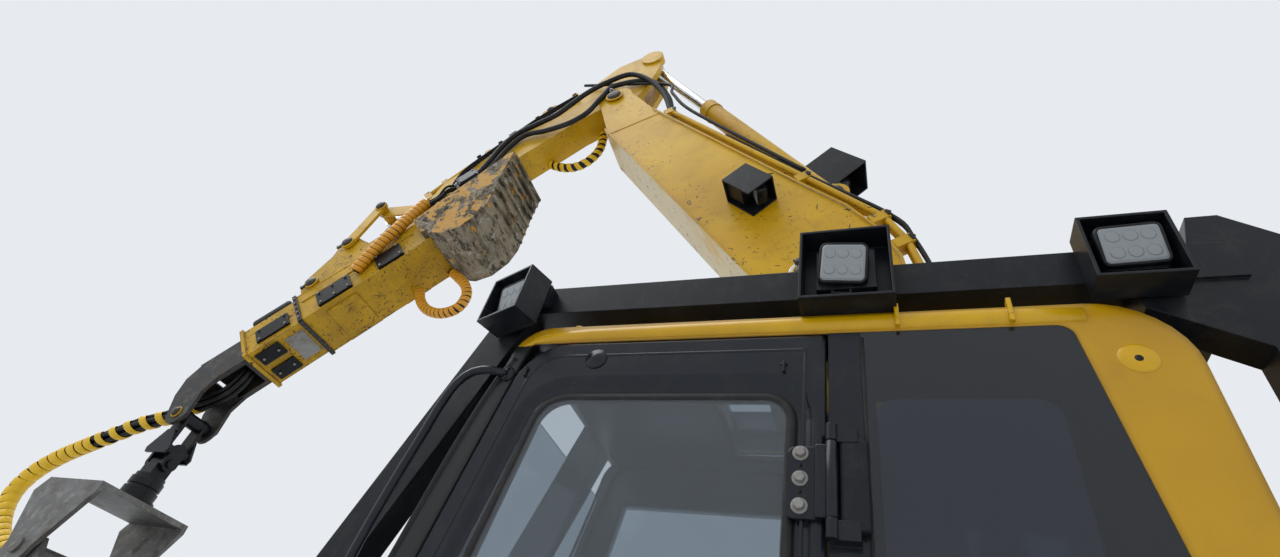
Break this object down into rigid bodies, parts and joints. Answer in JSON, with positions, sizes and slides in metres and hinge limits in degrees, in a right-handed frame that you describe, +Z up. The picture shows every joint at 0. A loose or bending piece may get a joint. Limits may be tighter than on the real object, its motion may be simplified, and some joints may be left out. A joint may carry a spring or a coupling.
{
  "type": "forestry harvester",
  "caption": "Tracked forestry harvester: an excavator carrier with a guarded cab, a two-piece reach with a telescopic extension, and a hanging harvester head.",
  "frame": {"origin": "on the slewing axis at ground level", "axes": "+X forward along the boom, +Y to the left (the cab's side), +Z up"},
  "size_m": [9.349, 3.08, 7.6506],
  "materials": {
    "yellow_paint": "gloss",
    "black_paint": "satin",
    "dark_steel": "matte",
    "bright_rod": "gloss",
    "tinted_glass": "gloss",
    "clear_glass": "gloss",
    "hose_sleeve": "matte",
    "trim_plastic": "matte",
    "seat_cloth": "matte"
  },
  "bodies": {
    "undercarriage": {"carbody": "black_paint", "track_frames": "dark_steel", "track_left": "dark_steel", "track_right": "dark_steel", "running_gear": "dark_steel"},
    "upper": {"deck_frame": "black_paint", "counterweight": "yellow_paint", "engine_block": "dark_steel", "left_body": "yellow_paint", "right_body": "yellow_paint", "valve_cover": "yellow_paint", "tanks": "yellow_paint", "exhaust": "black_paint", "cab_frame": "yellow_paint", "cab_pillar": "black_paint", "cab_skin": "trim_plastic", "cab_glass": "clear_glass", "side_window": "tinted_glass", "cab_floor": "trim_plastic", "seat": "seat_cloth", "console": "trim_plastic", "roof_guard": "black_paint", "guard_lamps": "black_paint", "hand_rails": "black_paint"},
    "hood": {"engine_hood": "yellow_paint"},
    "left_service_door": {"left_door": "yellow_paint"},
    "right_service_door": {"right_door": "yellow_paint"},
    "door": {"cab_door": "black_paint", "door_glass": "clear_glass"},
    "main_boom": {"boom": "yellow_paint", "boom_pipes": "yellow_paint", "boom_lamps": "black_paint"},
    "lift_barrels": {"boom_cylinder_barrels": "yellow_paint"},
    "lift_rods": {"boom_cylinder_rods": "bright_rod"},
    "arm_barrel": {"stick_cylinder_barrel": "yellow_paint"},
    "arm_rod": {"stick_cylinder_rod": "bright_rod"},
    "dipper": {"stick": "yellow_paint", "stick_pipes": "yellow_paint"},
    "curl_barrel": {"bucket_cylinder_barrel": "yellow_paint"},
    "curl_rod": {"bucket_cylinder_rod": "bright_rod"},
    "crank": {"bell_crank": "yellow_paint"},
    "link": {"power_link": "yellow_paint"},
    "extension": {"extension_outer": "yellow_paint", "heel_bucket": "dark_steel", "wear_pads": "black_paint"},
    "slider": {"extension_inner": "dark_steel", "tip_hoses": "hose_sleeve"},
    "hanger": {"hang_link": "black_paint"},
    "swivel_top": {"crosshead": "black_paint", "rotator": "black_paint"},
    "yoke": {"tilt_yoke": "dark_steel"},
    "head": {"head_frame": "dark_steel", "saw_box": "dark_steel"},
    "left_knife": {"knife_left": "dark_steel"},
    "right_knife": {"knife_right": "dark_steel"},
    "left_arm": {"feed_arm_left": "dark_steel"},
    "right_arm": {"feed_arm_right": "dark_steel"},
    "left_roller": {"feed_roller_left": "dark_steel"},
    "right_roller": {"feed_roller_right": "dark_steel"}
  },
  "joints": [
    {"name": "slew", "type": "hinge", "parent": "undercarriage", "child": "upper", "pos_m": [0, 0, 0.9], "axis": [0, 0, 1], "continuous": true},
    {"name": "hood_hinge", "type": "hinge", "parent": "upper", "child": "hood", "pos_m": [-2.03, 0, 2.1803], "axis": [0, -1, 0], "range_deg": [0, 70]},
    {"name": "left_door_hinge", "type": "hinge", "parent": "upper", "child": "left_service_door", "pos_m": [-1.9527, 1.3643, 1.6], "axis": [0, 0, 1], "range_deg": [0, 120]},
    {"name": "right_door_hinge", "type": "hinge", "parent": "upper", "child": "right_service_door", "pos_m": [-1.9527, -1.3643, 1.6], "axis": [0, 0, -1], "range_deg": [0, 120]},
    {"name": "cab_door_hinge", "type": "hinge", "parent": "upper", "child": "door", "pos_m": [0.545, 1.402, 2], "axis": [0, 0, 1], "range_deg": [0, 165]},
    {"name": "boom_hinge", "type": "hinge", "parent": "upper", "child": "main_boom", "pos_m": [0.1, 0, 1.85], "axis": [0, -1, 0], "range_deg": [-100, 1.5]},
    {"name": "lift_barrel_hinge", "type": "hinge", "parent": "upper", "child": "lift_barrels", "pos_m": [0.52, 0, 1.23], "axis": [0, -1, 0], "range_deg": [-99.84, 1.99]},
    {"name": "lift_rod_slide", "type": "slide", "parent": "lift_barrels", "child": "lift_rods", "axis": [0.0847, 0, 0.9964], "range_m": [-1.151, 0.0212]},
    {"name": "stick_hinge", "type": "hinge", "parent": "main_boom", "child": "dipper", "pos_m": [2.56268, 0, 6.76785], "axis": [0, 1, 0], "range_deg": [-77, 25]},
    {"name": "arm_barrel_hinge", "type": "hinge", "parent": "main_boom", "child": "arm_barrel", "pos_m": [0.61629, 0, 5.11435], "axis": [0, 1, 0], "range_deg": [-0.95, 0.65]},
    {"name": "arm_rod_slide", "type": "slide", "parent": "arm_barrel", "child": "arm_rod", "axis": [0.5834, 0, 0.8122], "range_m": [-0.9968, 0.3263]},
    {"name": "bucket_hinge", "type": "hinge", "parent": "dipper", "child": "extension", "pos_m": [4.24205, 0, 5.15211], "axis": [0, 1, 0], "range_deg": [-100, 0]},
    {"name": "curl_barrel_hinge", "type": "hinge", "parent": "dipper", "child": "curl_barrel", "pos_m": [3.34756, 0, 6.95877], "axis": [0, 1, 0], "range_deg": [-0.58, 0.5]},
    {"name": "curl_rod_slide", "type": "slide", "parent": "curl_barrel", "child": "curl_rod", "axis": [0.6406, 0, -0.7679], "range_m": [-0.663, 0.004]},
    {"name": "crank_hinge", "type": "hinge", "parent": "dipper", "child": "crank", "pos_m": [3.9981, 0, 5.47384], "axis": [0, 1, 0], "range_deg": [-72.62, 0.5]},
    {"name": "link_hinge", "type": "hinge", "parent": "crank", "child": "link", "pos_m": [4.55672, 0, 5.5092], "axis": [0, 1, 0], "range_deg": [-0.5, 65.17]},
    {"name": "telescope", "type": "slide", "parent": "extension", "child": "slider", "axis": [-0.7071, 0, 0.7071], "range_m": [-1.1, 0]},
    {"name": "hang_fore_aft", "type": "hinge", "parent": "slider", "child": "hanger", "pos_m": [5.22847, 0, 3.39495], "axis": [0, -1, 0], "range_deg": [-60, 60], "deforming": ["tip_hoses"]},
    {"name": "hang_sideways", "type": "hinge", "parent": "hanger", "child": "swivel_top", "pos_m": [5.22847, 0, 3.06495], "axis": [1, 0, 0], "range_deg": [-40, 40]},
    {"name": "rotator_turn", "type": "hinge", "parent": "swivel_top", "child": "yoke", "pos_m": [5.22847, 0, 2.93495], "axis": [0, 0, 1], "continuous": true},
    {"name": "head_tilt", "type": "hinge", "parent": "yoke", "child": "head", "pos_m": [5.35847, 0, 2.34465], "axis": [0, -1, 0], "range_deg": [-25, 60]},
    {"name": "knife_left_hinge", "type": "hinge", "parent": "head", "child": "left_knife", "pos_m": [5.80847, 0.245, 2.14465], "axis": [1, 0, 0], "range_deg": [0, 45]},
    {"name": "knife_right_hinge", "type": "hinge", "parent": "head", "child": "right_knife", "pos_m": [5.80847, -0.245, 2.14465], "axis": [1, 0, 0], "range_deg": [-45, 0]},
    {"name": "feed_arm_left_hinge", "type": "hinge", "parent": "head", "child": "left_arm", "pos_m": [4.92847, 0.275, 2.04465], "axis": [1, 0, 0], "range_deg": [-12, 35]},
    {"name": "feed_arm_right_hinge", "type": "hinge", "parent": "head", "child": "right_arm", "pos_m": [4.92847, -0.275, 2.04465], "axis": [1, 0, 0], "range_deg": [-35, 12]},
    {"name": "feed_roller_left_turn", "type": "hinge", "parent": "left_arm", "child": "left_roller", "pos_m": [4.92847, 0.43, 1.81465], "axis": [1, 0, 0], "continuous": true},
    {"name": "feed_roller_right_turn", "type": "hinge", "parent": "right_arm", "child": "right_roller", "pos_m": [4.92847, -0.43, 1.81465], "axis": [1, 0, 0], "continuous": true}
  ],
  "couplings": [
    {"joint": "lift_barrel_hinge", "follows": "boom_hinge", "ratio": 0.99338},
    {"joint": "lift_rod_slide", "follows": "boom_hinge", "m_per_rad": 0.6572},
    {"joint": "arm_barrel_hinge", "follows": "stick_hinge", "ratio": 0.0059},
    {"joint": "arm_rod_slide", "follows": "stick_hinge", "m_per_rad": 0.73874},
    {"joint": "curl_barrel_hinge", "follows": "bucket_hinge", "ratio": 0.00081},
    {"joint": "curl_rod_slide", "follows": "bucket_hinge", "m_per_rad": 0.37755},
    {"joint": "crank_hinge", "follows": "bucket_hinge", "ratio": 0.7212},
    {"joint": "link_hinge", "follows": "bucket_hinge", "ratio": -0.64669},
    {"joint": "knife_right_hinge", "follows": "knife_left_hinge", "ratio": -1},
    {"joint": "feed_arm_right_hinge", "follows": "feed_arm_left_hinge", "ratio": -1}
  ]
}
